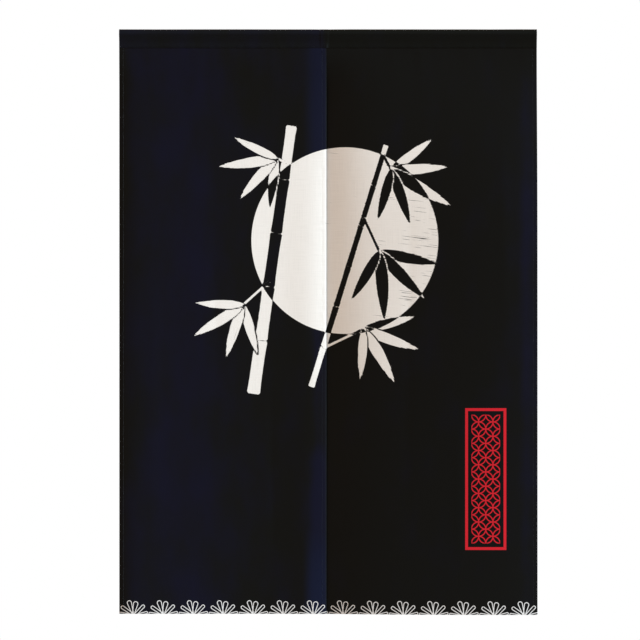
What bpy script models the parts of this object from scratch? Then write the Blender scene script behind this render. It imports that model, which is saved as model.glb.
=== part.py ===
"""A doorway curtain: two hanging cloth panels under one rod-pocket heading.

Seen from the front, which faces -Y, +X is to the right and +Z is up. The origin is the
middle of the heading's top edge. Lengths are in metres.
"""

import math
from collections import namedtuple

import bmesh
import bpy

# The whole curtain
CURTAIN_WIDTH = 0.850
CURTAIN_DROP = 1.190

# The cloth, and the room left between two pieces that are sewn together
CLOTH_THICK = 0.0010
HEM_THICK = 0.0020
GAP = 0.0003

# The heading: a strip that bulges round the rod's place and closes on the panels' top edges
HEADING_DROP = 0.0380
POCKET_RADIUS = 0.0090
SEAM_TOP = 0.0335
ARC_STEPS = 14
HEADING_COLUMNS = 14

# The panels meet at a slit, the left one in front by an overlap
SLIT_X = -0.0035
OVERLAP = 0.0120
SIDE_HEM = 0.0100
BOTTOM_HEM = 0.0180
HEM_STEP = 0.0006
PANEL_COLUMNS = 26
PANEL_ROWS = 20
ROW_CROWDING = 0.75

# How far below the heading the hems reach about two thirds of their own thickness
HEM_START = 0.055

# Long soft folds, one row each: where the fold's middle is across the curtain, how far it
# rises towards the front (below zero it is a hollow) and its half width, near the heading
# and at the hem, and how far below the heading it reaches about two thirds of its depth.
# A middle just past a panel's edge turns that edge back.
Fold = namedtuple(
    "Fold", "across_top across_hem rise_top rise_hem spread_top spread_hem start"
)

LEFT_FOLDS = {
    "whole panel a little back": Fold(-0.210, -0.210, -0.0036, -0.0044, 0.600, 0.600, 0.085),
    "outer edge turned back": Fold(-0.442, -0.444, -0.0046, -0.0058, 0.028, 0.029, 0.055),
    "low crest inside it": Fold(-0.380, -0.392, 0.0006, 0.0010, 0.052, 0.060, 0.070),
    "broad shallow hollow": Fold(-0.205, -0.185, -0.0001, -0.0006, 0.080, 0.095, 0.090),
    "crest beside the slit": Fold(-0.040, -0.018, 0.0010, 0.0050, 0.036, 0.068, 0.376),
    "slit edge turned back": Fold(0.021, 0.021, -0.0034, -0.0006, 0.027, 0.052, 0.055),
}

RIGHT_FOLDS = {
    "whole panel a little forward": Fold(0.200, 0.200, 0.0022, 0.0030, 0.600, 0.600, 0.085),
    "slit edge hanging back": Fold(-0.055, -0.074, -0.0185, -0.0188, 0.083, 0.118, 0.060),
    "broad crest": Fold(0.365, 0.382, 0.0292, 0.0292, 0.206, 0.334, 0.210),
    "outer edge turned back": Fold(0.440, 0.438, -0.0008, -0.0012, 0.034, 0.038, 0.055),
}

# Colours of the cloth as linear values, and its finish
HEADING_COLOUR = (0.010, 0.010, 0.012, 1.0)
LEFT_COLOUR = (0.011, 0.011, 0.016, 1.0)
RIGHT_COLOUR = (0.010, 0.010, 0.011, 1.0)
CLOTH_ROUGHNESS = 0.9


def clear_scene():
    for obj in list(bpy.data.objects):
        bpy.data.objects.remove(obj, do_unlink=True)


def mix(start, end, share):
    return start + (end - start) * share


def soft_bump(distance, spread):
    return math.exp(-((distance / spread) ** 2))


def growth(drop, start):
    """From 0 at the heading's lower edge to 1 further down, where the cloth hangs free."""
    return 1.0 - soft_bump(max(drop - HEADING_DROP, 0.0), start)


def fold_rise(folds, across, drop):
    """How far the cloth stands towards the front, at a place across and down the curtain."""
    share = (drop - HEADING_DROP) / (CURTAIN_DROP - HEADING_DROP)
    share = min(max(share, 0.0), 1.0)
    rise = 0.0
    for fold in folds.values():
        middle = mix(fold.across_top, fold.across_hem, share)
        height = mix(fold.rise_top, fold.rise_hem, share)
        spread = mix(fold.spread_top, fold.spread_hem, share)
        rise += height * soft_bump(across - middle, spread) * growth(drop, fold.start)
    return rise


def panel_columns(left_edge, right_edge):
    """Places across a panel: a step at each side hem, and closer spacing near the edges."""
    inner_left = left_edge + SIDE_HEM
    inner_right = right_edge - SIDE_HEM
    columns = [left_edge, inner_left - HEM_STEP]
    for index in range(PANEL_COLUMNS + 1):
        even = index / PANEL_COLUMNS
        crowded = (1.0 - math.cos(math.pi * even)) / 2.0
        columns.append(mix(inner_left, inner_right, (even + crowded) / 2.0))
    return columns + [inner_right + HEM_STEP, right_edge]


def panel_rows():
    """Places down a panel: closer spacing under the heading, and a step at the bottom hem."""
    hem_line = CURTAIN_DROP - BOTTOM_HEM
    rows = [SEAM_TOP]
    for index in range(PANEL_ROWS + 1):
        share = index / PANEL_ROWS
        crowded = mix(share, share**2, ROW_CROWDING)
        rows.append(mix(HEADING_DROP, hem_line, crowded))
    return rows + [hem_line + HEM_STEP, CURTAIN_DROP]


def cloth_sheet(name, across_count, up_count, place):
    """An open grid of cloth whose points are put where place(column, row) says."""
    mesh = bpy.data.meshes.new(name)
    sheet = bmesh.new()
    bmesh.ops.create_grid(
        sheet, x_segments=across_count, y_segments=up_count, size=0.5
    )
    for point in sheet.verts:
        column = round((point.co.x + 0.5) * across_count)
        row = round((point.co.y + 0.5) * up_count)
        point.co = place(column, row)
    sheet.to_mesh(mesh)
    sheet.free()
    mesh.shade_smooth()
    return bpy.data.objects.new(name, mesh)


def thicken(obj, thickness):
    """Gives the sheet its thickness behind the face that it was drawn as."""
    solid = obj.modifiers.new("cloth thickness", "SOLIDIFY")
    solid.thickness = thickness
    solid.offset = -1.0
    return solid


def cloth_material(name, colour):
    material = bpy.data.materials.new(name)
    material.use_nodes = True
    shader = material.node_tree.nodes["Principled BSDF"]
    shader.inputs["Base Color"].default_value = colour
    shader.inputs["Roughness"].default_value = CLOTH_ROUGHNESS
    shader.inputs["Metallic"].default_value = 0.0
    return material


def heading_section():
    """The strip's outer face as (y, z) points, from the front leg over the top to the back leg."""
    # Between the legs lie both panels, with a gap round each
    leg_y = GAP / 2.0 + CLOTH_THICK + GAP + CLOTH_THICK
    centre_z = -POCKET_RADIUS
    leg_distance = math.hypot(leg_y, SEAM_TOP - POCKET_RADIUS)
    leg_angle = math.atan2(leg_y, SEAM_TOP - POCKET_RADIUS)
    # The straight part touches the round part where it leaves it at a right angle to its radius
    touch_angle = math.acos(POCKET_RADIUS / leg_distance) + leg_angle
    section = [(-leg_y, -HEADING_DROP), (-leg_y, -SEAM_TOP)]
    for index in range(ARC_STEPS + 1):
        angle = mix(touch_angle, 2.0 * math.pi - touch_angle, index / ARC_STEPS)
        y = -POCKET_RADIUS * math.sin(angle)
        z = centre_z - POCKET_RADIUS * math.cos(angle)
        section.append((y, z))
    return section + [(leg_y, -SEAM_TOP), (leg_y, -HEADING_DROP)]


def make_heading():
    section = heading_section()

    def place(column, row):
        x = mix(-0.5, 0.5, column / HEADING_COLUMNS) * CURTAIN_WIDTH
        y, z = section[row]
        return (x, y, z)

    heading = cloth_sheet("heading", HEADING_COLUMNS, len(section) - 1, place)
    thicken(heading, CLOTH_THICK)
    heading.data.materials.append(cloth_material("heading cloth", HEADING_COLOUR))
    return heading


def make_panel(name, left_edge, right_edge, front_y, folds, colour):
    """One hemmed panel whose front face lies at front_y under the heading."""
    columns = panel_columns(left_edge, right_edge)
    rows = panel_rows()

    def place(column, row):
        x = columns[column]
        drop = rows[len(rows) - 1 - row]
        return (x, front_y - fold_rise(folds, x, drop), -drop)

    panel = cloth_sheet(name, len(columns) - 1, len(rows) - 1, place)
    hems = panel.vertex_groups.new(name="hems")
    for point in panel.data.vertices:
        x = point.co.x
        drop = -point.co.z
        in_side_hem = min(x - left_edge, right_edge - x) < SIDE_HEM - HEM_STEP / 2.0
        in_bottom_hem = drop > CURTAIN_DROP - BOTTOM_HEM + HEM_STEP / 2.0
        weight = growth(drop, HEM_START) if in_side_hem or in_bottom_hem else 0.0
        hems.add([point.index], weight, "REPLACE")
    solid = thicken(panel, HEM_THICK)
    solid.vertex_group = hems.name
    solid.thickness_vertex_group = CLOTH_THICK / HEM_THICK
    panel.data.materials.append(cloth_material(name + " cloth", colour))
    return panel


def make_curtain():
    clear_scene()
    collection = bpy.data.collections.new("noren_curtain")
    bpy.context.scene.collection.children.link(collection)
    rod_line = bpy.data.objects.new("rod_line", None)
    collection.objects.link(rod_line)

    half_width = CURTAIN_WIDTH / 2.0
    front_layer_y = -(CLOTH_THICK + GAP / 2.0)
    back_layer_y = GAP / 2.0
    pieces = [
        make_heading(),
        make_panel(
            "panel_left", -half_width, SLIT_X, front_layer_y, LEFT_FOLDS, LEFT_COLOUR
        ),
        make_panel(
            "panel_right",
            SLIT_X - OVERLAP,
            half_width,
            back_layer_y,
            RIGHT_FOLDS,
            RIGHT_COLOUR,
        ),
    ]
    for piece in pieces:
        collection.objects.link(piece)
        piece.parent = rod_line


make_curtain()
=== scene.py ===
"""A doorway curtain of two printed cloth panels under a rod-pocket heading.

The panels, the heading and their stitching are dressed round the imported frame. +X is to
the right seen from the front, which faces -Y, and +Z is up. Lengths are in metres, and a
place on the cloth is given across the curtain and by its drop below the top edge.
"""

import math
from collections import namedtuple

import bpy
import numpy as np
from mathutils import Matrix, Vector


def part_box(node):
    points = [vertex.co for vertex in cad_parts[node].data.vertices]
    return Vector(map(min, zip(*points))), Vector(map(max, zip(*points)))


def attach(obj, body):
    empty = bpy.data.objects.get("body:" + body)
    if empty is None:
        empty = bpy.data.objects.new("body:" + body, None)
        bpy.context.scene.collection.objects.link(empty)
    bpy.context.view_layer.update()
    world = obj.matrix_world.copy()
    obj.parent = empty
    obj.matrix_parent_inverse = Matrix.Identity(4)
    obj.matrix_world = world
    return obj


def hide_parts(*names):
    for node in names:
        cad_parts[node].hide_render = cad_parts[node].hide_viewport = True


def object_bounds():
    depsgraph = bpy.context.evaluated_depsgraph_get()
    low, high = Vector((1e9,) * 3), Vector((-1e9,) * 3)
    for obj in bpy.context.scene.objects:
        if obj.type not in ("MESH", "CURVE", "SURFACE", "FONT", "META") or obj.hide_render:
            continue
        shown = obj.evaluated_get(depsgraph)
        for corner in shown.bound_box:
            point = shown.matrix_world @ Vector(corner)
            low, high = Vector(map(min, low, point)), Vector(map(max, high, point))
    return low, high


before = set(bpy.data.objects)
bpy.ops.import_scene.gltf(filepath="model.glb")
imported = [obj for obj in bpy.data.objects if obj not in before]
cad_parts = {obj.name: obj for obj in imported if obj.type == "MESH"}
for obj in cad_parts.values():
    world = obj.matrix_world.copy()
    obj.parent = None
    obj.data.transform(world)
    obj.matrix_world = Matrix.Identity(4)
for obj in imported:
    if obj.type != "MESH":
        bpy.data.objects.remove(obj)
cad_low, cad_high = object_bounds()


# LEFT PANEL: one length of mid-weight linen-look cloth, dyed near black and printed on its
# face. Its sides and foot are turned to the back twice and sewn down, and its top edge is
# caught in the heading. It hangs in long soft folds, both side edges turned a little back.

curtain_width = cad_high.x - cad_low.x
curtain_drop = cad_high.z - cad_low.z
heading_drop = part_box("heading")[1].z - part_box("heading")[0].z
left_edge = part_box("panel_left")[0].x
slit_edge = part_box("panel_left")[1].x
panel_top = -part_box("panel_left")[1].z

CLOTH_THICK = 0.0006
HEM_THICK = 0.0016
SIDE_HEM = 0.0100
BOTTOM_HEM = 0.0180
STITCH_INSET = 0.0018
PRINT_TOP = 0.185
PRINT_FOOT = 0.755
PRINT_REACH = 0.285
FRONT_LAYER_Y = -0.00115
HEM_START = 0.055

Fold = namedtuple(
    "Fold", "across_top across_hem rise_top rise_hem spread_top spread_hem start"
)

LEFT_FOLDS = {
    "whole panel a little back": Fold(-0.210, -0.210, -0.0036, -0.0044, 0.600, 0.600, 0.085),
    "outer edge turned back": Fold(-0.442, -0.444, -0.0046, -0.0058, 0.028, 0.029, 0.055),
    "low crest inside it": Fold(-0.380, -0.392, 0.0006, 0.0010, 0.052, 0.060, 0.070),
    "broad shallow hollow": Fold(-0.205, -0.185, -0.0001, -0.0006, 0.080, 0.095, 0.090),
    "crest beside the slit": Fold(-0.040, -0.018, 0.0010, 0.0050, 0.036, 0.068, 0.376),
    "slit edge turned back": Fold(0.021, 0.021, -0.0030, -0.0006, 0.027, 0.052, 0.055),
}


def soft_bump(distance, spread):
    return np.exp(-((distance / spread) ** 2))


def growth(drop, start=HEM_START):
    """From 0 at the heading's lower edge to 1 where the cloth hangs free."""
    return 1.0 - soft_bump(np.maximum(drop - heading_drop, 0.0), start)


def mix(start, end, share):
    return start + (end - start) * share


def fold_rise(folds, across, drop):
    """How far the cloth stands towards the front."""
    share = np.clip((drop - heading_drop) / (curtain_drop - heading_drop), 0.0, 1.0)
    rise = 0.0
    for fold in folds.values():
        middle = mix(fold.across_top, fold.across_hem, share)
        height = mix(fold.rise_top, fold.rise_hem, share)
        spread = mix(fold.spread_top, fold.spread_hem, share)
        bump = soft_bump(across - middle, spread)
        rise = rise + height * bump * growth(drop, fold.start)
    return rise


def soft_step(low, high, value):
    share = np.clip((value - low) / (high - low), 0.0, 1.0)
    return share * share * (3.0 - 2.0 * share)


WANDER_VALUES = 4096


def wander(places, step, seed):
    """A smooth random line between -1 and 1 that changes over about one step."""
    values = np.random.default_rng(seed).uniform(-1.0, 1.0, WANDER_VALUES)
    position = places / step + WANDER_VALUES / 2.0
    index = np.floor(position).astype(int)
    return mix(values[index], values[index + 1], soft_step(0.0, 1.0, position - index))


# Creases left by handling: where each starts and ends, how deep and wide it is, and how far
# it leans sideways on its way down. Below zero it is a ridge.
Crease = namedtuple("Crease", "across drop_top drop_foot depth width lean")

LEFT_CREASES = {
    "long trough": Crease(-0.236, 0.120, 0.880, 0.0002, 0.011, 0.012),
    "ridge inside the outer hem": Crease(-0.352, 0.420, 1.120, -0.0003, 0.010, -0.010),
    "short trough by the slit": Crease(-0.118, 0.650, 1.130, 0.0003, 0.009, 0.008),
    "drag from the heading": Crease(-0.300, 0.045, 0.300, 0.0002, 0.012, 0.030),
}
CREASE_FADE = 0.35


def crease_depth(creases, across, drop):
    depth = 0.0
    for crease in creases.values():
        share = (drop - crease.drop_top) / (crease.drop_foot - crease.drop_top)
        line = crease.across + crease.lean * share
        fade = soft_step(0.0, CREASE_FADE, share) * soft_step(1.0, 1.0 - CREASE_FADE, share)
        depth = depth + crease.depth * fade * soft_bump(across - line, crease.width)
    return depth


RIPPLE_DEPTH = 0.00030
RIPPLE_STEP = 0.019
RIPPLE_START = 0.012
RIPPLE_FADE = 0.050
PUCKER_DEPTH = 0.00022
PUCKER_STEP = 0.0075
PUCKER_FADE = 0.0060
GROOVE_DEPTH = 0.00012
GROOVE_WIDTH = 0.0009
RUMPLE_DEPTH = 0.00030
RUMPLE_STEP = 0.085
RUMPLE_LENGTH = 2.0
RUMPLE_LEAN = 0.4
RUMPLE_RISE = 0.3


def small_relief(panel, across, drop):
    """Ripples under the heading, puckers and grooves along the hems' stitching, and rumples."""
    seed = panel.seed
    ripple = wander(across, RIPPLE_STEP, seed)
    relief = RIPPLE_DEPTH * ripple * np.exp(-(drop - heading_drop) / RIPPLE_FADE)
    relief = relief * soft_step(heading_drop, heading_drop + RIPPLE_START, drop)
    side = np.minimum(across - panel.left, panel.right - across)
    from_side = np.abs(side - (SIDE_HEM - STITCH_INSET))
    from_foot = np.abs(curtain_drop - drop - (BOTTOM_HEM - STITCH_INSET))
    side_pucker = wander(drop, PUCKER_STEP, seed + 1)
    foot_pucker = wander(across, PUCKER_STEP, seed + 2)
    relief += PUCKER_DEPTH * side_pucker * np.exp(-from_side / PUCKER_FADE)
    relief += PUCKER_DEPTH * foot_pucker * np.exp(-from_foot / PUCKER_FADE)
    relief -= GROOVE_DEPTH * soft_bump(np.minimum(from_side, from_foot), GROOVE_WIDTH)
    wide = wander(across + RUMPLE_LEAN * drop, RUMPLE_STEP, seed + 3)
    long = wander(drop - RUMPLE_RISE * across, RUMPLE_LENGTH * RUMPLE_STEP, seed + 4)
    relief += RUMPLE_DEPTH * wide * long * growth(drop)
    return relief


# The pale print on the dark ground is a full moon behind bamboo. Where bamboo crosses the
# moon it is left dark, and outside the moon it is painted. Every leaf keeps a thin dark
# line round it, as a cut stencil leaves.
MOON_ACROSS = 0.034
MOON_DROP = 0.430
MOON_RADIUS = 0.190
# Bare cloth between the moon's edge and the bamboo that is painted outside it
MOON_GAP = 0.0012
MOON_SLANT = 0.12
OUTSIDE = -0.05

Stalk = namedtuple("Stalk", "foot top width pieces")
Spray = namedtuple("Spray", "place toward reach leaves stalk height")

STALKS = {
    "thick": Stalk((-0.152, 0.742), (-0.074, 0.196), 0.027, 5),
    "slim": Stalk((-0.034, 0.728), (0.118, 0.236), 0.013, 6),
}

# Leaves fan out from the end of a twig. The direction is in degrees, with 0 to the right
# and 90 down. The twig leaves its stalk at a share of the stalk's height.
SPRAYS = {
    "high left": Spray((-0.104, 0.262), 152, 0.128, 4, "thick", 0.86),
    "high right": Spray((0.128, 0.286), 34, 0.142, 5, "slim", 0.96),
    "middle right": Spray((0.104, 0.452), 66, 0.150, 4, "slim", 0.70),
    "low left": Spray((-0.172, 0.560), 128, 0.130, 4, "thick", 0.42),
    "low right": Spray((0.072, 0.610), 40, 0.136, 4, "slim", 0.16),
}
STALK_TAPER = 0.22
TWIG_WIDTH = 0.0052
TWIG_LINE = 0.0004
LEAF_FAN = 34.0
LEAF_LINE = 0.0026
LEAF_BEND = 0.05
LEAF_SLIMNESS = 5.6
LEAF_WIDEST = 0.40
LEAF_ROOT_CURVE = 0.60
LEAF_TIP_CURVE = 0.90
OUTER_LEAF_SHORTER = 0.13
NEXT_LEAF_SHORTER = 0.05

# How dry the brush is at the start and at the end of each kind of stroke
STALK_DRYNESS = (0.15, 0.45)
TWIG_DRYNESS = (0.10, 0.30)
LEAF_DRYNESS = (0.10, 0.75)
MOON_DRYNESS = (0.15, 0.95)
MOON_DRYING = 1.5


def from_root(across, drop, root, turn):
    """How far places lie along a direction from a root, and how far beside it."""
    x, y = across - root[0], drop - root[1]
    return x * math.cos(turn) + y * math.sin(turn), y * math.cos(turn) - x * math.sin(turn)


def leaf_field(across, drop, root, angle, length, bend):
    """(distance inside the leaf's outline, place along it, place across it)."""
    along, aside = from_root(across, drop, root, math.radians(angle))
    share = np.clip(along / length, 0.0, 1.0)
    aside = aside - bend * length * share * share
    shape = share**LEAF_ROOT_CURVE * (1.0 - share) ** LEAF_TIP_CURVE
    fullest = LEAF_WIDEST**LEAF_ROOT_CURVE * (1.0 - LEAF_WIDEST) ** LEAF_TIP_CURVE
    half = 0.5 * length / LEAF_SLIMNESS * shape / fullest
    beyond = np.maximum(np.maximum(-along, along - length), 0.0)
    return half - np.hypot(aside, beyond), along, aside


BAR_WAIST = 0.92
BAR_FLARE = 0.12
BAR_WIDEST = 1.04
BAR_END_ROUND = 0.2


def bar_field(across, drop, start, end, width):
    """The same for a straight bar with round ends, a little wider there than halfway."""
    length = math.dist(start, end)
    turn = math.atan2(end[1] - start[1], end[0] - start[0])
    along, aside = from_root(across, drop, start, turn)
    flare = BAR_FLARE * np.abs(2.0 * along / length - 1.0) ** 4
    half = width / 2.0 * np.minimum(BAR_WAIST + flare, BAR_WIDEST)
    round_end = width * BAR_END_ROUND
    past = np.maximum(np.maximum(round_end - along, along - length + round_end), 0.0)
    side = np.maximum(np.abs(aside) - half + round_end, 0.0)
    inside = np.minimum(np.minimum(along, length - along), half - np.abs(aside))
    outside = round_end - np.hypot(past, side)
    return np.where((past > 0) & (side > 0), outside, inside), along, aside


# From one stroke to the next the brush's hairs are taken from another place
NEXT_STROKE_ALONG = 0.37
NEXT_STROKE_ASIDE = 0.11


class Painting:
    """The painted field over a set of places: how far inside a stroke each place is, where
    it lies along and across that stroke, and how dry the brush was there."""

    def __init__(self, shape):
        self.inside = np.full(shape, OUTSIDE)
        self.along = np.zeros(shape)
        self.aside = np.zeros(shape)
        self.dry = np.zeros(shape)
        self.strokes = 0

    def stroke(self, field, line, dryness):
        """Lays a stroke over the others, with a thin unpainted line round it."""
        inside, along, aside = field
        self.strokes += 1
        own = inside > -line
        share = np.clip(along / np.max(along[own], initial=0.001), 0.0, 1.0)
        self.along = np.where(own, along + NEXT_STROKE_ALONG * self.strokes, self.along)
        self.aside = np.where(own, aside + NEXT_STROKE_ASIDE * self.strokes, self.aside)
        self.dry = np.where(own, mix(*dryness, share), self.dry)
        self.inside = np.maximum(np.minimum(self.inside, -inside - line), inside)


def along_stalk(stalk, share):
    return mix(np.array(stalk.foot), np.array(stalk.top), share)


def paint_bamboo(across, drop):
    painting = Painting(across.shape)
    for stalk in STALKS.values():
        for piece in range(stalk.pieces):
            start = along_stalk(stalk, piece / stalk.pieces)
            end = along_stalk(stalk, (piece + 1) / stalk.pieces)
            width = stalk.width * (1.0 - STALK_TAPER * piece / stalk.pieces)
            field = bar_field(across, drop, start, end, width)
            painting.stroke(field, LEAF_LINE / 2.0, STALK_DRYNESS)
    for spray in SPRAYS.values():
        root = along_stalk(STALKS[spray.stalk], spray.height)
        twig = bar_field(across, drop, root, spray.place, TWIG_WIDTH)
        painting.stroke(twig, TWIG_LINE, TWIG_DRYNESS)
        middle = (spray.leaves - 1) / 2.0
        for leaf in range(spray.leaves):
            away = leaf - middle
            angle = spray.toward + LEAF_FAN * away
            shorter = OUTER_LEAF_SHORTER * abs(away) + NEXT_LEAF_SHORTER * (leaf % 2)
            length = spray.reach * (1.0 - shorter)
            bend = LEAF_BEND if away > 0 else -LEAF_BEND
            field = leaf_field(across, drop, spray.place, angle, length, bend)
            painting.stroke(field, LEAF_LINE, LEAF_DRYNESS)
    return painting


def paint_print(across, drop):
    """The whole pale print: moon and bamboo change places in dark and light."""
    painting = paint_bamboo(across, drop)
    moon = MOON_RADIUS - np.hypot(across - MOON_ACROSS, drop - MOON_DROP)
    on_bamboo = painting.inside > 0.0
    bamboo = painting.inside
    painting.inside = np.maximum(
        np.minimum(moon, -bamboo), np.minimum(bamboo, -moon - MOON_GAP)
    )
    sweep = (across - MOON_ACROSS + MOON_RADIUS) / (2.0 * MOON_RADIUS)
    moon_dry = mix(*MOON_DRYNESS, np.clip(sweep, 0.0, 1.0) ** MOON_DRYING)
    in_moon = moon > 0.0
    painting.along = np.where(in_moon, across + MOON_SLANT * drop, painting.along)
    painting.aside = np.where(in_moon, drop - MOON_SLANT * across, painting.aside)
    painting.dry = np.where(in_moon, moon_dry, painting.dry)
    painting.dry = np.where(in_moon & on_bamboo, 0.0, painting.dry)
    return painting


def stations(*stops):
    """Places from stops given as (place, spacing up to the next stop)."""
    places = [stops[0][0]]
    for (start, spacing), (end, _) in zip(stops, stops[1:]):
        count = max(1, round((end - start) / spacing))
        places.extend(start + (end - start) * np.arange(1, count + 1) / count)
    return np.array(places)


EDGE_ROLL = 0.0006
EDGE_THINNING = 0.12
FOLDED_EDGE = 0.0003
# How far apart the mesh's points lie: on an edge, by stitches, on a hem, and on the cloth
EDGE_SPACING = 0.0003
STITCH_SPACING = 0.0006
HEM_SPACING = 0.0020
FOOT_HEM_SPACING = 0.0035
SEAM_SPACING = 0.0011
UPPER_SPACING = 0.0045
PRINT_SPACING = 0.00275
PLAIN_SPACING = 0.0070
# How far past a hem or the heading the close spacing goes on
CLOSE_PAST = 0.004

# Over a side hem: distances from its edge, and how far apart points lie from each to the next
SEWN_EDGE = SIDE_HEM - 2.0 * STITCH_INSET
HEM_DISTANCES = (0.0, EDGE_ROLL, SEWN_EDGE, SIDE_HEM, SIDE_HEM + FOLDED_EDGE)
HEM_SPACINGS = (EDGE_SPACING, HEM_SPACING, STITCH_SPACING, EDGE_SPACING)


def hem_at_left(edge):
    spacings = HEM_SPACINGS + (HEM_SPACING,)
    return [(edge + distance, step) for distance, step in zip(HEM_DISTANCES, spacings)]


def hem_at_right(edge):
    distances, spacings = HEM_DISTANCES[::-1], HEM_SPACINGS[::-1] + (EDGE_SPACING,)
    return [(edge - distance, step) for distance, step in zip(distances, spacings)]


panel_rows = stations(
    (panel_top, SEAM_SPACING),
    (heading_drop + CLOSE_PAST, UPPER_SPACING),
    (PRINT_TOP, PRINT_SPACING),
    (PRINT_FOOT, PLAIN_SPACING),
    (curtain_drop - BOTTOM_HEM - FOLDED_EDGE, EDGE_SPACING),
    (curtain_drop - BOTTOM_HEM, STITCH_SPACING),
    (curtain_drop - BOTTOM_HEM + 2.0 * STITCH_INSET, FOOT_HEM_SPACING),
    (curtain_drop - EDGE_ROLL, EDGE_SPACING),
    (curtain_drop, EDGE_SPACING),
)

left_columns = stations(
    *hem_at_left(left_edge),
    (left_edge + SIDE_HEM + CLOSE_PAST, PLAIN_SPACING),
    (-PRINT_REACH, PRINT_SPACING),
    *hem_at_right(slit_edge),
)


def cloth_faces(row_count, column_count):
    """Quads of a closed sheet: its face, its back, and the rim that joins them, with a tag
    for each face (0 face, 1 back, 2 rim)."""
    face = np.arange(row_count * column_count).reshape(row_count, column_count)
    back = face + row_count * column_count
    a, b = face[:-1, :-1].ravel(), face[:-1, 1:].ravel()
    d, e = face[1:, :-1].ravel(), face[1:, 1:].ravel()
    front_quads = np.stack([a, d, e, b], axis=1)
    back_quads = np.stack([a, b, e, d], axis=1) + row_count * column_count
    top = np.stack([face[0, :-1], face[0, 1:], back[0, 1:], back[0, :-1]], axis=1)
    foot = np.stack([back[-1, :-1], back[-1, 1:], face[-1, 1:], face[-1, :-1]], axis=1)
    left = np.stack([face[:-1, 0], back[:-1, 0], back[1:, 0], face[1:, 0]], axis=1)
    right = np.stack([face[:-1, -1], face[1:, -1], back[1:, -1], back[:-1, -1]], axis=1)
    parts = [front_quads, back_quads, np.concatenate([top, foot, left, right])]
    tags = np.repeat([0, 1, 2], [len(part) for part in parts])
    return np.concatenate(parts), tags


def set_values(mesh, name, values):
    made = mesh.attributes.new(name, "FLOAT", "POINT")
    made.data.foreach_set("value", np.ascontiguousarray(values, dtype=np.float32))


# The face takes this share of the texture's width, and the back the rest
MAP_SPLIT = 0.60
MAP_MARGIN = 0.008


def lay_texture_map(mesh, faces, tags, along, up):
    """A map with the face on the left of the texture and the back on its right."""
    count = len(along)
    face_u = MAP_MARGIN + along * (MAP_SPLIT - 2.0 * MAP_MARGIN)
    back_u = MAP_SPLIT + MAP_MARGIN + along * (1.0 - MAP_SPLIT - 2.0 * MAP_MARGIN)
    v = MAP_MARGIN + up * (1.0 - 2.0 * MAP_MARGIN)
    place = faces % count
    u = np.where((tags == 1)[:, None], back_u[place], face_u[place])
    # The rim takes a thin strip just outside the face's own area
    outward = np.where(along[place] > 0.5, 1.0, -1.0) * MAP_MARGIN / 3.0
    in_rim = (tags == 2)[:, None] & (faces >= count)
    u = np.where(in_rim, face_u[place] + outward, u)
    save_map(mesh, np.stack([u, v[place]], axis=2))


def save_map(mesh, places):
    layer = mesh.uv_layers.new(name="OFBake")
    layer.data.foreach_set("uv", places.astype(np.float32).ravel())


# A hanging panel: its edges, which one is at the slit, where its face lies under the heading,
# the folds and creases that it hangs in, and how the painted sheen in its colour changes
# across, down and by the slit
Panel = namedtuple(
    "Panel", "left right slit front_y folds creases dye_across dye_down dye_slit seed"
)
HEM_SWELLING_HEAD_START = 0.02


def panel_surface(panel, across, drop):
    """The y of the face and of the back, which hems thicken and rolled edges thin."""
    rise = fold_rise(panel.folds, across, drop)
    rise = rise - crease_depth(panel.creases, across, drop) * growth(drop)
    rise = rise + small_relief(panel, across, drop)
    side = np.minimum(across - panel.left, panel.right - across)
    foot = curtain_drop - drop
    in_hem = np.maximum(
        soft_step(SIDE_HEM, SIDE_HEM - FOLDED_EDGE, side),
        soft_step(BOTTOM_HEM, BOTTOM_HEM - FOLDED_EDGE, foot),
    )
    swelling = in_hem * growth(drop + HEM_SWELLING_HEAD_START)
    thick = mix(CLOTH_THICK, HEM_THICK, swelling)
    roll = np.clip(1.0 - np.minimum(side, foot) / EDGE_ROLL, 0.0, 1.0)
    thinner = thick * EDGE_THINNING * (1.0 - np.sqrt(np.maximum(1.0 - roll**2, 0.0)))
    return panel.front_y - rise + thinner, panel.front_y - rise + thick - thinner


def make_sheet(name, sides, along, up):
    """A closed sheet from the points of its face and of its back, which are listed row by
    row, with the share of the texture's face at which each point lies."""
    faces, tags = cloth_faces(*along.shape)
    sheet = make_object(name, np.concatenate(sides).reshape(-1, 3), faces)
    lay_texture_map(sheet.data, faces, tags, along.ravel(), up.ravel())
    return sheet


def make_panel_cloth(name, panel, columns, rows):
    across, drop = np.meshgrid(columns, rows)
    sides = [np.stack([across, y, -drop], axis=2) for y in panel_surface(panel, across, drop)]
    share_across = (across - panel.left) / (panel.right - panel.left)
    share_up = 1.0 - (drop - rows[0]) / (rows[-1] - rows[0])
    cloth = make_sheet(name, sides, share_across, share_up)
    mark_cloth(cloth.data, panel, across.ravel(), drop.ravel(), 2)
    return cloth


SHARP_ANGLE = 50.0


def make_object(name, points, faces):
    mesh = bpy.data.meshes.new(name)
    mesh.from_pydata(points.tolist(), [], faces.tolist())
    mesh.shade_smooth()
    mesh.set_sharp_from_angle(angle=math.radians(SHARP_ANGLE))
    made = bpy.data.objects.new(name, mesh)
    bpy.context.scene.collection.objects.link(made)
    return made


RUBBED_WIDTH = 0.0022
# The painted sheen by the slit is even up to the first distance from the edge and gone
# at the second
SLIT_SHEEN_EVEN = 0.026
SLIT_SHEEN_GONE = 0.051


def along_table(table, places, column=1):
    """A column's value at places, which the table's first column gives in order."""
    columns = np.array(table).T
    return np.interp(places, columns[0], columns[column])


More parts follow.
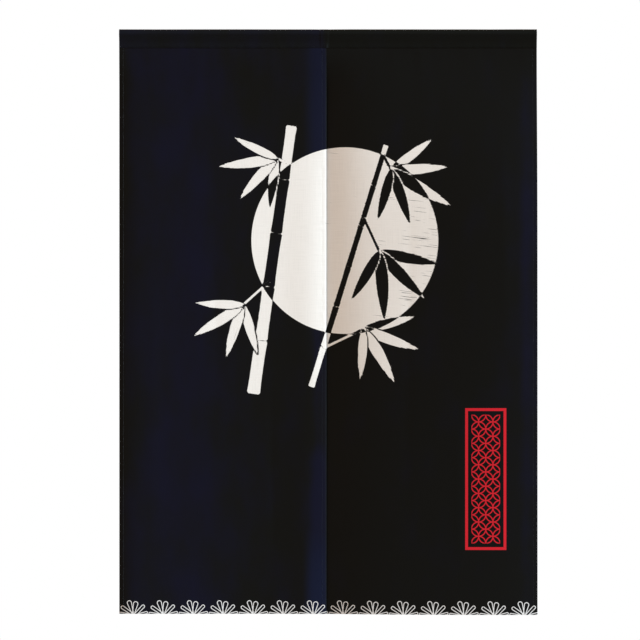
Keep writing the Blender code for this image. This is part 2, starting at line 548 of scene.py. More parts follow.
def mark_cloth(mesh, panel, across, drop, sides):
    """Stores what print and painted sheen a mesh has. Its points are listed once for the
    cloth's face and, with two sides, once more for its back. The slit's edge is rubbed by
    hands."""
    painting = paint_print(across, drop)
    from_slit = np.abs(across - panel.slit)
    # Painted sheen by the slit: a paler and a bluest colour where the slit-side fold turns
    # towards the cool light
    slit_sheen_share = soft_step(SLIT_SHEEN_GONE, SLIT_SHEEN_EVEN, from_slit)
    # Painted sheen: the paler, bluer colour's share, given by place across and down the panel
    painted_sheen_share = along_table(panel.dye_across, across) * along_table(panel.dye_down, drop)
    for name, values in {
        "across": across,
        "drop": drop,
        "painted_sheen_share": painted_sheen_share + slit_sheen_share * along_table(panel.dye_slit, drop),
        "painted_blue_sheen": slit_sheen_share * along_table(panel.dye_slit, drop, 2),
        "ink_inside": painting.inside,
        "ink_along": painting.along,
        "ink_aside": painting.aside,
        "ink_dry": painting.dry,
        "rubbed": np.exp(-from_slit / RUBBED_WIDTH),
    }.items():
        set_values(mesh, name, np.tile(values, sides))
    set_values(mesh, "back_side", np.repeat(np.arange(float(sides)), len(across)))


# Half of the distance over which printed ink ends
LINE_BLUR = 0.0003


class Shading:
    """Adds nodes to a material and joins their sockets."""

    def __init__(self, name):
        self.material = bpy.data.materials.new(name)
        self.material.use_nodes = True
        self.nodes = self.material.node_tree.nodes
        self.links = self.material.node_tree.links
        self.shader = self.nodes["Principled BSDF"]

    def put(self, socket, value):
        if isinstance(value, bpy.types.NodeSocket):
            self.links.new(value, socket)
        else:
            socket.default_value = value

    def stored(self, name):
        node = self.nodes.new("ShaderNodeAttribute")
        node.attribute_name = name
        return node.outputs["Fac"]

    def math(self, operation, first, second=0.0, third=0.0):
        node = self.nodes.new("ShaderNodeMath")
        node.operation = operation
        self.put(node.inputs[0], first)
        self.put(node.inputs[1], second)
        self.put(node.inputs[2], third)
        return node.outputs[0]

    def times(self, first, second):
        return self.math("MULTIPLY", first, second)

    def plus(self, first, second):
        return self.math("ADD", first, second)

    def minus(self, first, second):
        return self.math("SUBTRACT", first, second)

    def times_plus(self, first, second, third):
        return self.math("MULTIPLY_ADD", first, second, third)

    def step(self, low, high, value):
        """0 below low, 1 above high and smooth between, or the other way round."""
        node = self.nodes.new("ShaderNodeMapRange")
        node.interpolation_type = "SMOOTHSTEP"
        self.put(node.inputs["Value"], value)
        node.inputs["From Min"].default_value = min(low, high)
        node.inputs["From Max"].default_value = max(low, high)
        node.inputs["To Min"].default_value = float(low > high)
        node.inputs["To Max"].default_value = float(low <= high)
        return node.outputs["Result"]

    def line(self, half_width, distance):
        """1 on a printed line, from the distance to its middle."""
        return self.step(half_width + LINE_BLUR, half_width - LINE_BLUR, distance)

    def noise(self, x, y, often_x, often_y, detail=2.0, z=0.0):
        """Smooth noise that changes this often in a metre along x and along y."""
        place = self.nodes.new("ShaderNodeCombineXYZ")
        self.put(place.inputs[0], self.times(x, often_x))
        self.put(place.inputs[1], self.times(y, often_y))
        self.put(place.inputs[2], z)
        node = self.nodes.new("ShaderNodeTexNoise")
        node.inputs["Scale"].default_value = 1.0
        node.inputs["Detail"].default_value = detail
        self.links.new(place.outputs[0], node.inputs["Vector"])
        return node.outputs["Fac"]

    def blend(self, share, first, second):
        node = self.nodes.new("ShaderNodeMix")
        node.data_type = "RGBA"
        self.put(node.inputs["Factor"], share)
        self.put(node.inputs["A"], first)
        self.put(node.inputs["B"], second)
        return node.outputs["Result"]

    def bump(self, height, distance, strength):
        node = self.nodes.new("ShaderNodeBump")
        node.inputs["Strength"].default_value = strength
        node.inputs["Distance"].default_value = distance
        self.put(node.inputs["Height"], height)
        self.links.new(node.outputs["Normal"], self.shader.inputs["Normal"])


WEAVE_PITCH = 0.0011


def weave_height(paint, across, drop):
    """Plain weave: threads that go over and under by turns."""
    turn = 2.0 * math.pi / WEAVE_PITCH
    side = paint.math("SINE", paint.times(across, turn))
    down = paint.math("SINE", paint.times(drop, turn))
    return paint.times_plus(paint.times(side, down), 0.5, 0.5)


# How often a thread changes along its length, and from one thread to the next, in a metre
WEFT_CHANGES = 26.0
WARP_CHANGES = 20.0
THREAD_TO_THREAD = 760.0
WARP_SEED = 7.0


def thread_unevenness(paint, across, drop):
    """Thick and thin places in the threads, about 0.5 on average."""
    weft = paint.noise(across, drop, WEFT_CHANGES, THREAD_TO_THREAD)
    warp = paint.noise(across, drop, THREAD_TO_THREAD, WARP_CHANGES, z=WARP_SEED)
    return paint.times(paint.plus(weft, warp), 0.5)


# The foot of each panel carries a row of half flowers with slim outlined petals, which the
# hem cuts off near their root. Places are across from the flower's middle and up from the
# hem, and a petal widens from one end's radius to the other's.
Petal = namedtuple("Petal", "root tip root_radius tip_radius")

FLOWER_PITCH = 0.0611
FIRST_FLOWER = 0.0009
PETAL_OUTLINE = 0.00076
PETALS = {
    "low left": Petal((-0.0060, -0.0014), (-0.0272, 0.0012), 0.0012, 0.0021),
    "left": Petal((-0.0010, -0.0011), (-0.0220, 0.0132), 0.0022, 0.0031),
    "middle left": Petal((-0.0009, -0.0010), (-0.0082, 0.0225), 0.0014, 0.0043),
    "middle right": Petal((-0.0002, -0.0010), (0.0047, 0.0204), 0.0018, 0.0045),
    "right": Petal((0.0044, -0.0010), (0.0198, 0.0152), 0.0024, 0.0030),
    "low right": Petal((0.0080, -0.0014), (0.0266, 0.0026), 0.0012, 0.0022),
}


def flower_border(paint, across, drop):
    """1 on the petals' outlines."""
    from_first = paint.minus(across, FIRST_FLOWER)
    cells = paint.math("FRACT", paint.math("DIVIDE", from_first, FLOWER_PITCH))
    x = paint.times(paint.minus(cells, 0.5), FLOWER_PITCH)
    height = paint.minus(curtain_drop, drop)
    nearest = 1.0
    for petal in PETALS.values():
        length = math.dist(petal.root, petal.tip)
        turn_x = (petal.tip[0] - petal.root[0]) / length
        turn_y = (petal.tip[1] - petal.root[1]) / length
        from_x = paint.minus(x, petal.root[0])
        from_y = paint.minus(height, petal.root[1])
        along = paint.times_plus(from_x, turn_x, paint.times(from_y, turn_y))
        aside = paint.times_plus(from_x, -turn_y, paint.times(from_y, turn_x))
        share = paint.math("DIVIDE", along, length)
        share = paint.math("MINIMUM", paint.math("MAXIMUM", share, 0.0), 1.0)
        past = paint.times_plus(share, -length, along)
        reach = paint.times_plus(past, past, paint.times(aside, aside))
        reach = paint.math("SQRT", reach)
        widening = petal.tip_radius - petal.root_radius
        radius = paint.times_plus(share, widening, petal.root_radius)
        line = paint.math("ABSOLUTE", paint.minus(reach, radius))
        nearest = paint.math("MINIMUM", nearest, line)
    return paint.line(PETAL_OUTLINE, nearest)


# Low on the right panel stands a red upright field: a plain frame filled with interlocking
# circles, which are an old weaver's pattern.
FIELD_ACROSS = 0.3200
FIELD_DROP = 0.9144
FIELD_HALF_WIDTH = 0.0417
FIELD_HALF_HEIGHT = 0.1438
FIELD_FRAME = 0.0057
CIRCLE_RADIUS = 0.0145
CIRCLE_LINE = 0.0011
CIRCLES_HALF_WIDTH = 2.0 * CIRCLE_RADIUS
CIRCLES_HALF_HEIGHT = 9.0 * CIRCLE_RADIUS


def red_field(paint, across, drop):
    """1 on the frame and on the circles' lines."""
    x = paint.minus(across, FIELD_ACROSS)
    y = paint.minus(drop, FIELD_DROP)
    far_x = paint.math("ABSOLUTE", x)
    far_y = paint.math("ABSOLUTE", y)
    half_frame = FIELD_FRAME / 2.0
    past_side = paint.minus(far_x, FIELD_HALF_WIDTH - half_frame)
    past_end = paint.minus(far_y, FIELD_HALF_HEIGHT - half_frame)
    past = paint.math("MAXIMUM", past_side, past_end)
    frame_line = paint.line(half_frame, paint.math("ABSOLUTE", past))
    nearest = 1.0
    period = 2.0 * CIRCLE_RADIUS
    for offset in (0.0, 0.5):
        reach = 0.0
        for value in (x, y):
            cells = paint.times_plus(value, 1.0 / period, 0.5 + offset)
            inner = paint.minus(paint.math("FRACT", cells), 0.5)
            inner = paint.times(inner, period)
            reach = paint.times_plus(inner, inner, reach)
        line = paint.minus(paint.math("SQRT", reach), CIRCLE_RADIUS)
        nearest = paint.math("MINIMUM", nearest, paint.math("ABSOLUTE", line))
    circles = paint.line(CIRCLE_LINE, nearest)
    in_width = paint.math("LESS_THAN", far_x, CIRCLES_HALF_WIDTH)
    in_height = paint.math("LESS_THAN", far_y, CIRCLES_HALF_HEIGHT)
    circles = paint.times(circles, paint.times(in_width, in_height))
    return paint.math("MAXIMUM", frame_line, circles)


# The brush's hairs: how often their marks change along and across a stroke, in a metre
HAIRS_ALONG = 15.0
HAIRS_ACROSS = 520.0
HAIRS_MIDDLE = 0.56
# How ragged a stroke's outline is with a wet brush, and how much more with a dry one
RAGGED_WET = 0.0006
RAGGED_DRY = 0.0075
INK_BLUR = 0.0004
# Where a hair's mark passes this limit the cloth is bare, and a dry brush lowers the limit
BARE_LIMIT = 0.84
BARE_LIMIT_DRY = -0.26
BARE_BLUR = 0.05


def brushed_ink(paint):
    """1 where the pale ink lies: inside the strokes, less the bare lines of a dry brush."""
    inside = paint.stored("ink_inside")
    along = paint.stored("ink_along")
    aside = paint.stored("ink_aside")
    dry = paint.stored("ink_dry")
    hairs = paint.noise(along, aside, HAIRS_ALONG, HAIRS_ACROSS, detail=3.0)
    ragged = paint.times_plus(dry, RAGGED_DRY, RAGGED_WET)
    shift = paint.times(paint.minus(hairs, HAIRS_MIDDLE), ragged)
    covered = paint.step(-INK_BLUR, INK_BLUR, paint.plus(inside, shift))
    limit = paint.times_plus(dry, BARE_LIMIT_DRY, BARE_LIMIT)
    bare = paint.step(0.0, BARE_BLUR, paint.minus(hairs, limit))
    return paint.times(covered, paint.minus(1.0, bare))


# A dye's deep colour, and its paler, bluer colour, which shows in clouds and also serves as
# painted sheen
Dye = namedtuple("Dye", "deep pale")
PANEL_DYE_AND_SHEEN = Dye((0.0040, 0.0045, 0.0042, 1.0), (0.0043, 0.0048, 0.0140, 1.0))
# The bluest colour: painted sheen beside the slit
BLUE_SHEEN_COLOUR = (0.0052, 0.0082, 0.0238, 1.0)
RUBBED_CLOTH = (0.008, 0.009, 0.011, 1.0)
PALE_INK = (0.885, 0.832, 0.772, 1.0)
PALE_INK_THIN = (0.845, 0.794, 0.735, 1.0)
BORDER_INK = (0.78, 0.75, 0.72, 1.0)
RED_INK = (0.61, 0.016, 0.027, 1.0)

# Clouds in the dye, by how often they change in a metre, and what they and the threads add
CLOUDS_ACROSS = 16.0
CLOUDS_DOWN = 7.0
CLOUD_STRENGTH = 1.2
DYE_IN_THREADS = 0.30
DYE_BALANCE = -0.15
# Thick threads are rubbed first, and thin ones hold less ink, between these two thicknesses
RUBBED_THREADS = (0.3, 0.6)
INKED_THREADS = (0.40, 0.56)


def dark_cloth(paint, across, drop, dye):
    """(colour, thread unevenness) of the dyed cloth, a little rubbed along the slit. A paler,
    bluer colour shows in clouds, as uneven dye, and is given more at the places where the
    cloth turns towards the cool light, as painted sheen; the bluest painted sheen lies by the
    slit."""
    threads = thread_unevenness(paint, across, drop)
    clouds = paint.noise(across, drop, CLOUDS_ACROSS, CLOUDS_DOWN, detail=3.0)
    clouds = paint.times_plus(clouds, CLOUD_STRENGTH, -CLOUD_STRENGTH / 2.0)
    clouds = paint.times_plus(threads, DYE_IN_THREADS, clouds)
    # The placed share of the paler colour is painted sheen; the clouds are uneven dye
    share = paint.plus(paint.stored("painted_sheen_share"), DYE_BALANCE)
    tone = paint.step(0.0, 1.0, paint.plus(clouds, share))
    colour = paint.blend(tone, dye.deep, dye.pale)
    # Painted blue sheen beside the slit
    colour = paint.blend(paint.stored("painted_blue_sheen"), colour, BLUE_SHEEN_COLOUR)
    rubbed = paint.times(paint.stored("rubbed"), paint.step(*RUBBED_THREADS, threads))
    return paint.blend(rubbed, colour, RUBBED_CLOTH), threads


CLOTH_SPECULAR = 0.115
CLOTH_ROUGHNESS = 0.38
THREAD_ROUGHNESS = 0.06
THREAD_HEIGHT = 1.4
WEAVE_DEPTH = 0.00005
WEAVE_STRENGTH = 0.6
SHOW_THROUGH = 0.13


def finish_cloth(paint, across, drop, threads):
    """Sets what dyed and printed cloth share: a dull face with the weave in it."""
    shader = paint.shader
    shader.inputs["Specular IOR Level"].default_value = CLOTH_SPECULAR
    rough = paint.times_plus(threads, THREAD_ROUGHNESS, CLOTH_ROUGHNESS)
    paint.put(shader.inputs["Roughness"], rough)
    weave = weave_height(paint, across, drop)
    height = paint.times_plus(threads, THREAD_HEIGHT, weave)
    paint.bump(height, WEAVE_DEPTH, WEAVE_STRENGTH)


def print_over(paint, across, drop, threads, colour):
    """The print on a panel's face, which shows through a little on its back."""
    through = paint.times_plus(paint.stored("back_side"), SHOW_THROUGH - 1.0, 1.0)
    pale = paint.blend(paint.step(*INKED_THREADS, threads), PALE_INK_THIN, PALE_INK)
    layers = (
        (brushed_ink(paint), pale),
        (flower_border(paint, across, drop), BORDER_INK),
        (red_field(paint, across, drop), RED_INK),
    )
    for mask, ink in layers:
        colour = paint.blend(paint.times(mask, through), colour, ink)
    return colour


def cloth_material(name, dye, printed):
    paint = Shading(name)
    across, drop = paint.stored("across"), paint.stored("drop")
    colour, threads = dark_cloth(paint, across, drop, dye)
    if printed:
        colour = print_over(paint, across, drop, threads, colour)
    paint.put(paint.shader.inputs["Base Color"], colour)
    finish_cloth(paint, across, drop, threads)
    return paint.material


# The share of the paler, bluer colour at places across the panel: painted sheen where the
# cloth turns towards the cool light
SheenPlace = namedtuple("SheenPlace", "across share")

LEFT_SHEEN_PLACES = (
    SheenPlace(-0.425, 0.00),
    SheenPlace(-0.403, 0.36),
    SheenPlace(-0.340, 0.58),
    SheenPlace(-0.250, 0.60),
    SheenPlace(-0.205, 0.34),
    SheenPlace(-0.150, 0.20),
    SheenPlace(-0.040, 0.18),
    SheenPlace(-0.024, 0.86),
    SheenPlace(-0.003, 0.80),
)

# What that share is multiplied by at places down the panel
DyeDown = namedtuple("DyeDown", "drop factor")

LEFT_SHEEN_DOWN = (DyeDown(0.000, 1.0), DyeDown(1.190, 1.0))

# Down the slit's edge: what is added there to the painted sheen's share, and the share of the
# bluest painted sheen
SlitSheen = namedtuple("SlitSheen", "drop pale blue")

LEFT_SLIT_SHEEN = (
    SlitSheen(0.040, 0.00, 0.50),
    SlitSheen(0.200, 0.00, 0.50),
    SlitSheen(0.700, -0.30, 0.00),
    SlitSheen(0.840, -0.35, 0.00),
    SlitSheen(0.880, 0.00, 0.10),
    SlitSheen(1.020, 0.00, 0.20),
    SlitSheen(1.080, 0.05, 0.75),
    SlitSheen(1.130, 0.10, 1.00),
    SlitSheen(1.190, 0.10, 1.00),
)

left = Panel(
    left=left_edge,
    right=slit_edge,
    slit=slit_edge,
    front_y=FRONT_LAYER_Y,
    folds=LEFT_FOLDS,
    creases=LEFT_CREASES,
    dye_across=LEFT_SHEEN_PLACES,
    dye_down=LEFT_SHEEN_DOWN,
    dye_slit=LEFT_SLIT_SHEEN,
    seed=11,
)


def hang_panel(side, panel, columns):
    """Makes a panel's cloth and its material, and tells the frame of it."""
    cloth = make_panel_cloth(f"cloth_{side}", panel, columns, panel_rows)
    material = cloth_material(f"printed cloth, {side}", PANEL_DYE_AND_SHEEN, printed=True)
    cloth.data.materials.append(material)
    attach(cloth, "root")
    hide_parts(f"panel_{side}")
    return cloth


left_panel = hang_panel("left", left, left_columns)


# RIGHT PANEL: the same cloth, cut a little wider, because its slit edge hangs behind the
# left panel's. That edge hangs well back, so the panel swells forward from it in one broad
# fold. It is hemmed and caught in the heading as the left one is.

right_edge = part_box("panel_right")[1].x
hidden_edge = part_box("panel_right")[0].x
BACK_LAYER_Y = 0.00015

RIGHT_FOLDS = {
    "whole panel a little forward": Fold(0.200, 0.200, 0.0022, 0.0030, 0.600, 0.600, 0.085),
    "slit edge hanging back": Fold(-0.055, -0.074, -0.0185, -0.0188, 0.083, 0.118, 0.060),
    "broad crest": Fold(0.365, 0.382, 0.0292, 0.0292, 0.206, 0.334, 0.210),
    "outer edge turned back": Fold(0.440, 0.438, -0.0008, -0.0012, 0.034, 0.038, 0.055),
}

RIGHT_CREASES = {
    "long trough": Crease(0.168, 0.260, 1.080, 0.0003, 0.011, -0.010),
    "ridge near the outer hem": Crease(0.352, 0.110, 0.700, -0.0003, 0.010, 0.008),
    "drag from the heading": Crease(0.236, 0.045, 0.320, 0.0002, 0.013, -0.026),
    "short ridge low down": Crease(0.262, 0.760, 1.150, -0.0003, 0.010, 0.006),
}

right_columns = stations(
    *hem_at_left(hidden_edge),
    (hidden_edge + SIDE_HEM + CLOSE_PAST, PRINT_SPACING),
    (PRINT_REACH, PLAIN_SPACING),
    *hem_at_right(right_edge),
)
# Painted sheen on the right panel: most by its outer edge, which turns towards the cool light
RIGHT_SHEEN_PLACES = (
    SheenPlace(-0.014, 0.00),
    SheenPlace(0.120, 0.06),
    SheenPlace(0.350, 0.06),
    SheenPlace(0.385, 0.20),
    SheenPlace(0.400, 0.55),
    SheenPlace(0.425, 0.30),
)
# How much of that painted sheen shows at places down the right panel
RIGHT_SHEEN_DOWN = (
    DyeDown(0.050, 0.10),
    DyeDown(0.110, 0.30),
    DyeDown(0.180, 0.85),
    DyeDown(0.300, 1.00),
    DyeDown(0.460, 1.35),
    DyeDown(0.620, 1.25),
    DyeDown(0.900, 1.10),
    DyeDown(1.020, 0.90),
    DyeDown(1.110, 0.35),
    DyeDown(1.190, 0.30),
)
RIGHT_SLIT_SHEEN = (SlitSheen(0.000, 0.0, 0.0), SlitSheen(1.190, 0.0, 0.0))

right = Panel(
    left=hidden_edge,
    right=right_edge,
    slit=hidden_edge,
    front_y=BACK_LAYER_Y,
    folds=RIGHT_FOLDS,
    creases=RIGHT_CREASES,
    dye_across=RIGHT_SHEEN_PLACES,
    dye_down=RIGHT_SHEEN_DOWN,
    dye_slit=RIGHT_SLIT_SHEEN,
    seed=31,
)
right_panel = hang_panel("right", right, right_columns)


# HEADING: a strip of the same cloth folded over the rod's place and sewn down over both
# panels' top edges. It swells round the pocket, closes to the seam below it, and is lapped
# where its two lengths meet above the slit.

POCKET_RADIUS = 0.0090
# The cloth leaves the pocket's round at this angle from its lowest place, and then closes
# on the seam in a hollow curve
POCKET_LEFT_AT = 60.0
POCKET_CLOSING = 2.2
SEAM_TOP = 0.0335
LEG_Y = 0.00245
HALF_ARC_STEPS = 15
SIDE_STEPS = 8
# The rows below the seam, by height above the heading's foot and distance from the seam's
# plane, because the foot stands a little off the panels
FOOT_HEIGHTS = np.array([0.0, 0.0004, 0.0022])
FOOT_STANDS_OFF = np.array([0.0003, 0.0002, 0.0001])
LAP_FROM = -0.0150
LAP_TO = -0.0004
LAP_HEIGHT = 0.00018
LAP_STEP = 0.0005
LAP_FADE = 0.010
LAP_FOOT = 0.006
SEAM_PUCKER_REACH = 0.0085
SLACK_DEPTH = 0.00015
SLACK_STEP = 0.055
SLACK_START = 0.012
SEAM_GROOVE_DEPTH = 0.00008
SEAM_GROOVE_WIDTH = 0.0007
LAYER_STEP = 0.0012
LAYER_REACH = 0.009
LAYER_EASE = 0.004
HEADING_SEED = 51
HEADING_SPACING = 0.0034
HEADING_END = 0.0012
HEADING_END_SPACING = 0.0004
LAP_MARGIN = 0.0006
# Painted sheen on the heading: the paler, bluer colour's share across it, most at the left and
# above the slit
HEADING_SHEEN_PLACES = (
    SheenPlace(-0.425, 0.46),
    SheenPlace(-0.270, 0.34),
    SheenPlace(-0.060, 0.24),
    SheenPlace(-0.024, 0.55),
    SheenPlace(-0.011, 0.50),
    SheenPlace(0.001, 0.05),
)
# The heading's colours are a little lighter and greener than the panels', though it is the same
# cloth: painted light for how the heading's round takes the light
HEADING_DYE_AND_SHEEN = Dye((0.0041, 0.0051, 0.0045, 1.0), (0.0046, 0.0054, 0.0145, 1.0))


def heading_section():
    """The outer face as (y, z) from the front leg over the top to the back leg."""
    leaving = math.radians(POCKET_LEFT_AT)
    angles = np.linspace(leaving, math.pi, HALF_ARC_STEPS + 1)
    arc_y = -POCKET_RADIUS * np.sin(angles)
    arc_z = -POCKET_RADIUS - POCKET_RADIUS * np.cos(angles)
    rising = np.linspace(0.0, 1.0, SIDE_STEPS + 1)[:-1]
    side_y = mix(-LEG_Y, arc_y[0], rising**POCKET_CLOSING)
    side_z = mix(-SEAM_TOP, arc_z[0], rising)
    half_y = np.concatenate([-LEG_Y + FOOT_STANDS_OFF, side_y, arc_y])
    half_z = np.concatenate([-heading_drop + FOOT_HEIGHTS, side_z, arc_z])
    y = np.concatenate([half_y, -half_y[-2::-1]])
    z = np.concatenate([half_z, half_z[-2::-1]])
    return y, z


section_y, section_z = heading_section()
section_steps = np.hypot(np.diff(section_y), np.diff(section_z))
section_path = np.concatenate([[0.0], np.cumsum(section_steps)])
strip_width = section_path[-1]
HEADING_STITCH = 0.0024


def heading_surface(across, along):
    """(y, z, outward y, outward z) of the outer face, along being measured from the front
    leg's foot over the top."""
    tangent_y = np.gradient(section_y, section_path)
    tangent_z = np.gradient(section_z, section_path)
    out_y = -np.interp(along, section_path, tangent_z)
    out_z = np.interp(along, section_path, tangent_y)
    length = np.hypot(out_y, out_z)
    out_y, out_z = out_y / length, out_z / length
    side = np.minimum(along, strip_width - along)
    pucker = 1.0 + wander(across, PUCKER_STEP, HEADING_SEED)
    relief = -PUCKER_DEPTH * pucker * soft_bump(side, SEAM_PUCKER_REACH)
    slack = 1.0 + wander(across, SLACK_STEP, HEADING_SEED + 1)
    relief -= SLACK_DEPTH * slack * (1.0 - soft_bump(side, SLACK_START))
    relief -= SEAM_GROOVE_DEPTH * soft_bump(side - HEADING_STITCH, SEAM_GROOVE_WIDTH)
    in_lap = soft_step(LAP_FROM - LAP_STEP, LAP_FROM, across)
    in_lap = in_lap * soft_step(LAP_TO + LAP_STEP, LAP_TO, across)
    near_join = np.minimum(np.abs(across - LAP_FROM), np.abs(across - LAP_TO))
    lap = (in_lap - 1.0) * LAP_HEIGHT * soft_step(0.0, LAP_FOOT, side)
    relief += lap * soft_bump(near_join, LAP_FADE)
    # Past the overlap one panel is missing between the legs, and that leg lies lower
    front_leg = along < strip_width / 2.0
    past_slit = soft_step(slit_edge, slit_edge + LAYER_EASE, across)
    before_slit = soft_step(hidden_edge, hidden_edge - LAYER_EASE, across)
    one_layer = np.where(front_leg, past_slit, before_slit)
    relief -= LAYER_STEP * one_layer * soft_bump(side, LAYER_REACH)
    y = np.interp(along, section_path, section_y) + out_y * relief
    z = np.interp(along, section_path, section_z) + out_z * relief
    return y, z, out_y, out_z


def make_heading_cloth():
    columns = stations(
        (cad_low.x, HEADING_END_SPACING),
        (cad_low.x + HEADING_END, HEADING_SPACING),
        (LAP_FROM - LAP_MARGIN, STITCH_SPACING),
        (LAP_TO + LAP_MARGIN, HEADING_SPACING),
        (cad_high.x - HEADING_END, HEADING_END_SPACING),
        (cad_high.x, HEADING_END_SPACING),
    )
    # Rows run from the back leg's foot over the top, as a panel's run downwards
    across, along = np.meshgrid(columns, section_path[::-1])
    y, z, out_y, out_z = heading_surface(across, along)
    sides = [
        np.stack([across, y - out_y * depth, z - out_z * depth], axis=2)
        for depth in (0.0, CLOTH_THICK)
    ]
    share_across = (across - cad_low.x) / curtain_width
    heading = make_sheet("heading_cloth", sides, along / strip_width, share_across)
    mark_heading(heading.data, np.tile(across.ravel(), 2), np.tile(along.ravel(), 2))
    return heading


def mark_heading(mesh, across, along):
    set_values(mesh, "across", across)
    set_values(mesh, "drop", along)
    set_values(mesh, "painted_sheen_share", along_table(HEADING_SHEEN_PLACES, across))


heading_piece = make_heading_cloth()
plain_cloth = cloth_material("plain dark cloth", HEADING_DYE_AND_SHEEN, printed=False)
heading_piece.data.materials.append(plain_cloth)
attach(heading_piece, "root")
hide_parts("heading")


# STITCHING: dark sewing thread in machine stitches, face and back, along both side hems and
# the foot hem of each panel, and along the heading's lower edge through all layers. The
# print was laid after sewing, so it runs over the thread too.

STITCH_PITCH = 0.0034
STITCH_LENGTH = 0.0029
THREAD_RADIUS = 0.00023
# Along a stitch: how far along it each ring of the thread lies, and how high on the cloth
STITCH_RINGS = ((0.0, -0.00022), (0.16, 0.00012), (0.84, 0.00012), (1.0, -0.00022))
# Stitching starts this far in from an edge
STITCH_START = 0.001
# Every stitch has a cell of its own in the texture, and fills it from here over this share
CELL_MARGIN = 0.15
CELL_FILLED = 0.7


def stitch_line(start, end):
    """Starts and directions of the stitches from one place to another."""
    start, end = np.array(start), np.array(end)
    length = math.dist(start, end)
    count = int(length / STITCH_PITCH)
    step = (end - start) / length
    places = start + step * STITCH_PITCH * np.arange(count)[:, None]
    return places, np.tile(step, (count, 1))


def make_thread(name, lines, on_cloth):
    """Stitches along lines. on_cloth(places, height) gives points that high on the cloth."""
    starts = np.concatenate([places for places, _ in lines])
    steps = np.concatenate([step for _, step in lines])
    aside = np.stack([-steps[:, 1], steps[:, 0]], axis=1)
    rings, places = [], []
    for share, height in STITCH_RINGS:
        middle = starts + steps * STITCH_LENGTH * share
        for side, lift in ((1, 0), (0, 1), (-1, 0), (0, -1)):
            place = middle + aside * THREAD_RADIUS * side
            rings.append(on_cloth(place, height + THREAD_RADIUS * lift))
            places.append(place)
    count, ring_count = len(starts), len(STITCH_RINGS)
    points = np.stack(rings, axis=1).reshape(-1, 3)
    faces = []
    first = np.arange(count)[:, None] * 4 * ring_count
    for ring in range(ring_count - 1):
        for side in range(4):
            here, beside = 4 * ring + side, 4 * ring + (side + 1) % 4
            faces.append(first + np.array([here, beside, beside + 4, here + 4]))
    faces.append(first + np.array([3, 2, 1, 0]))
    faces.append(first + 4 * (ring_count - 1) + np.array([0, 1, 2, 3]))
    faces = np.stack(faces, axis=1).reshape(-1, 4)
    thread = make_object(name, points, faces)
    places = np.stack(places, axis=1).reshape(-1, 2)
    cells = math.ceil(math.sqrt(count))
    stitch = np.arange(len(points)) // (4 * ring_count)
    ring = (np.arange(len(points)) // 4) % ring_count
    turn = np.arange(len(points)) % 4
    u = (stitch % cells + CELL_MARGIN + CELL_FILLED * ring / (ring_count - 1)) / cells
    v = (stitch // cells + CELL_MARGIN + CELL_FILLED * turn / 3.0) / cells
    save_map(thread.data, np.stack([u[faces], v[faces]], axis=2))
    return thread, places


def sew_panel(name, panel, back):
    """Stitches on one side of a panel, along its hems."""
    side_line = SIDE_HEM - STITCH_INSET
    foot_line = curtain_drop - BOTTOM_HEM + STITCH_INSET
    top = heading_drop + STITCH_START
    low, high = panel.left + side_line, panel.right - side_line
    start, end = panel.left + STITCH_START, panel.right - STITCH_START
    lines = [
        stitch_line((low, top), (low, curtain_drop)),
        stitch_line((high, top), (high, curtain_drop)),
        stitch_line((start, foot_line), (end, foot_line)),
    ]

    def on_cloth(place, height):
        face_y, back_y = panel_surface(panel, place[:, 0], place[:, 1])
        y = back_y + height if back else face_y - height
        return np.stack([place[:, 0], y, -place[:, 1]], axis=1)

    thread, places = make_thread(name, lines, on_cloth)
    mark_cloth(thread.data, panel, places[:, 0], places[:, 1], 1)
    if back:
        set_values(thread.data, "back_side", np.ones(len(places)))
    return thread


def sew_heading():
    """Stitches through the heading's lower edge, front and back."""
    start = cad_low.x + STITCH_START
    front, back = (
        stitch_line((start, place), (cad_high.x, place))
        for place in (HEADING_STITCH, strip_width - HEADING_STITCH)
    )

    def on_cloth(place, height):
        y, z, out_y, out_z = heading_surface(place[:, 0], place[:, 1])
        return np.stack([place[:, 0], y + out_y * height, z + out_z * height], axis=1)

    thread, places = make_thread("thread_heading", [front, back], on_cloth)
    mark_heading(thread.data, places[:, 0], places[:, 1])
    return thread


for name, panel, cloth in (("left", left, left_panel), ("right", right, right_panel)):
    for back in (False, True):
        suffix = "back" if back else "face"
        thread = sew_panel(f"thread_{name}_{suffix}", panel, back)
        thread.data.materials.append(cloth.data.materials[0])
        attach(thread, "root")
heading_thread = sew_heading()
heading_thread.data.materials.append(plain_cloth)
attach(heading_thread, "root")


# FLOOR, LIGHT AND CAMERA: a pale floor lies below the doorway's height. One broad cool
# light comes from the far right, so that it grazes the cloth and shows its folds, and a
# pale room fills the rest.

FLOOR_BELOW = 1.95
FLOOR_RADIUS = 1.8
FLOOR_COLOUR = (0.60, 0.58, 0.55, 1.0)
FLOOR_ROUGHNESS = 0.9

bpy.ops.mesh.primitive_circle_add(
    vertices=128, radius=FLOOR_RADIUS, fill_type="NGON", location=(0, 0, -FLOOR_BELOW)
)
floor = bpy.context.object
floor.name = "floor"
floor_paint = Shading("pale floor")
floor_paint.shader.inputs["Base Color"].default_value = FLOOR_COLOUR
floor_paint.shader.inputs["Roughness"].default_value = FLOOR_ROUGHNESS
floor.data.materials.append(floor_paint.material)


def add_sun(name, azimuth, elevation, strength, colour, size):
    """A broad light. Azimuth is in degrees from the viewer's side towards the right."""
    light = bpy.data.lights.new(name, "SUN")
    light.energy = strength
    light.color = colour
    light.angle = math.radians(size)
    lamp = bpy.data.objects.new(name, light)
    turn, lift = math.radians(azimuth), math.radians(elevation)
    level = math.cos(lift)
    towards = Vector((math.sin(turn) * level, -math.cos(turn) * level, math.sin(lift)))
    lamp.rotation_euler = towards.to_track_quat("Z", "Y").to_euler()
    bpy.context.scene.collection.objects.link(lamp)


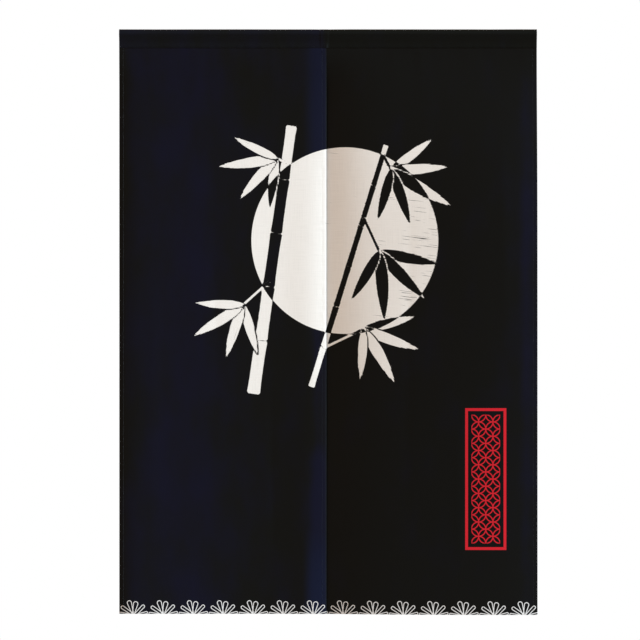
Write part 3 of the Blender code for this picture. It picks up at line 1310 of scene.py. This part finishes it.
KEY_COLOUR = (0.675, 0.86, 1.0)
FILL_COLOUR = (1.0, 0.84, 0.66)
add_sun("key from the right", 72, 17, strength=9.1, colour=KEY_COLOUR, size=14)
add_sun("fill from the left", -50, 20, strength=0.35, colour=FILL_COLOUR, size=60)

ROOM_LIGHT = 0.334
ROOM_COLOUR = (1.0, 0.60, 0.32, 1.0)
scene = bpy.context.scene
scene.world = bpy.data.worlds.new("pale room")
scene.world.use_nodes = True
nodes, links = scene.world.node_tree.nodes, scene.world.node_tree.links
room = nodes["Background"]
room.inputs["Color"].default_value = ROOM_COLOUR
room.inputs["Strength"].default_value = ROOM_LIGHT
backdrop = nodes.new("ShaderNodeBackground")
backdrop.inputs["Color"].default_value = (1.0, 1.0, 1.0, 1.0)
seen = nodes.new("ShaderNodeLightPath")
chosen = nodes.new("ShaderNodeMixShader")
links.new(seen.outputs["Is Camera Ray"], chosen.inputs[0])
links.new(room.outputs[0], chosen.inputs[1])
links.new(backdrop.outputs[0], chosen.inputs[2])
links.new(chosen.outputs[0], nodes["World Output"].inputs["Surface"])

# The photograph is square and 640 pixels wide, and the curtain's width covers this many
PHOTO_WIDTH_PX = 640.0
CURTAIN_WIDTH_PX = 417.6
CURTAIN_MIDDLE_PX = 328.0
CURTAIN_TOP_PX = 29.3
CAMERA_DISTANCE = 9.0
metre_per_px = curtain_width / CURTAIN_WIDTH_PX
view_width = PHOTO_WIDTH_PX * metre_per_px
lens = bpy.data.cameras.new("camera")
lens.sensor_fit = "HORIZONTAL"
lens.lens = lens.sensor_width * CAMERA_DISTANCE / view_width
camera = bpy.data.objects.new("camera", lens)
camera.location = (
    (PHOTO_WIDTH_PX / 2.0 - CURTAIN_MIDDLE_PX) * metre_per_px,
    -CAMERA_DISTANCE,
    -(PHOTO_WIDTH_PX / 2.0 - CURTAIN_TOP_PX) * metre_per_px,
)
camera.rotation_euler = (math.pi / 2.0, 0.0, 0.0)
scene.collection.objects.link(camera)
scene.camera = camera
scene.view_settings.view_transform = "Standard"
scene.view_settings.look = "None"
